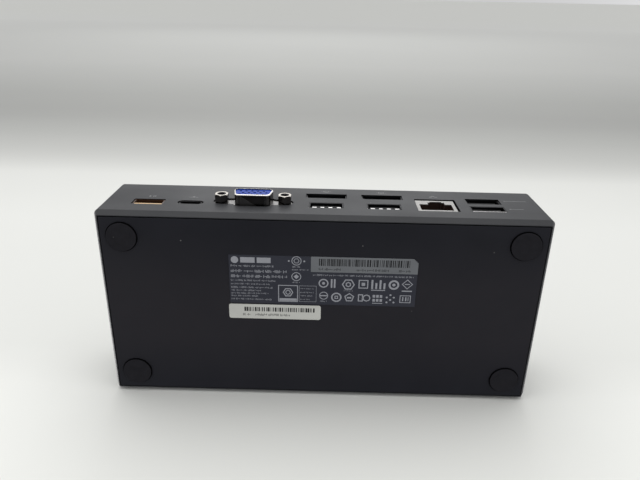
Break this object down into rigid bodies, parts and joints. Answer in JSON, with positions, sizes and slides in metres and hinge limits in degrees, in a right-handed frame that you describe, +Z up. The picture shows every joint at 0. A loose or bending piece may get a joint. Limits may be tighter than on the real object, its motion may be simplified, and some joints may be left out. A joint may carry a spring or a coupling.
{
  "type": "laptop docking station",
  "caption": "Flat rectangular desktop dock with a rear row of video, USB, network and power ports, rubber feet and a front power button.",
  "frame": {"origin": "centre of the bounding box's bottom face, at desk level", "axes": "+X along the long side, +Y towards the rear port panel, +Z up"},
  "size_m": [0.1748, 0.0856, 0.0349],
  "materials": {
    "case_plastic": "fine moulded texture, dark grey",
    "cover_plastic": "fine moulded texture, near black",
    "foot_rubber": "matt",
    "zinc_steel": "zinc plated",
    "label_grey": "satin printed film",
    "label_silver": "satin printed film",
    "label_white": "satin paper film",
    "board_laminate": "solder-masked laminate",
    "connector_black": "moulded",
    "core_brown": "moulded",
    "liner_amber": "moulded",
    "contact_gold": "gold plated",
    "bright_nickel": "bright nickel plate",
    "dark_nickel": "blackened plate",
    "sheet_nickel": "nickel-plated sheet",
    "shield_nickel": "satin nickel plate",
    "vga_blue": "moulded",
    "button_plastic": "satin",
    "plunger_white": "moulded",
    "clear_plastic": "clear moulding",
    "chip_epoxy": "moulded epoxy",
    "ferrite_grey": "sintered ferrite",
    "can_aluminium": "drawn can",
    "pad_grey": "soft pad",
    "spreader_aluminium": "milled",
    "film_black": "polyester film",
    "plate_steel": "pressed plate"
  },
  "bodies": {
    "dock": {"address_sticker": "label_white", "audio_jack_bushing": "bright_nickel", "audio_jack_housing": "connector_black", "audio_jack_terminals": "sheet_nickel", "av_stack_a_contacts": "contact_gold", "av_stack_a_core": "connector_black", "av_stack_a_shell": "sheet_nickel", "av_stack_b_contacts": "contact_gold", "av_stack_b_core": "connector_black", "av_stack_b_shell": "sheet_nickel", "board_screws": "zinc_steel", "bottom_cover": "cover_plastic", "capacitors": "can_aluminium", "case_screws": "zinc_steel", "crystals": "can_aluminium", "dc_inlet_contacts": "contact_gold", "dc_inlet_housing": "connector_black", "dc_inlet_liner": "liner_amber", "dc_inlet_pin": "contact_gold", "foot_front_left": "foot_rubber", "foot_front_right": "foot_rubber", "foot_rear_left": "foot_rubber", "foot_rear_right": "foot_rubber", "front_usb_a_contacts": "contact_gold", "front_usb_a_core": "connector_black", "front_usb_a_shell": "sheet_nickel", "front_usb_c_shell": "dark_nickel", "front_usb_c_tongue": "connector_black", "heat_spreader": "spreader_aluminium", "host_usb_c_shell": "dark_nickel", "host_usb_c_tongue": "connector_black", "insulating_film": "film_black", "lan_jack_contacts": "contact_gold", "lan_jack_core": "core_brown", "lan_jack_shield": "shield_nickel", "light_pipe": "clear_plastic", "lock_plate": "plate_steel", "main_board": "board_laminate", "network_chip": "chip_epoxy", "network_transformer": "chip_epoxy", "power_inductors": "ferrite_grey", "power_led": "plunger_white", "rating_label": "label_grey", "serial_sticker": "label_silver", "tact_switch_body": "connector_black", "thermal_pads": "pad_grey", "top_case": "case_plastic", "usb_hub_chip": "chip_epoxy", "usb_stack_contacts": "contact_gold", "usb_stack_core": "connector_black", "usb_stack_shell": "sheet_nickel", "vga_contacts": "contact_gold", "vga_insulator": "vga_blue", "vga_jack_nuts": "bright_nickel", "vga_rear_housing": "connector_black", "vga_shell": "bright_nickel", "video_chips": "chip_epoxy"},
    "power_button": {"power_button": "button_plastic"},
    "switch_plunger": {"tact_switch_plunger": "plunger_white"}
  },
  "joints": [
    {"name": "button_press", "type": "slide", "parent": "dock", "child": "power_button", "axis": [0, 1, 0], "range_m": [0, 0.0005], "stiffness_N_per_m": 1500},
    {"name": "plunger_press", "type": "slide", "parent": "dock", "child": "switch_plunger", "axis": [0, 1, 0], "range_m": [0, 0.0005]}
  ],
  "couplings": [
    {"joint": "plunger_press", "follows": "button_press", "ratio": 1}
  ]
}
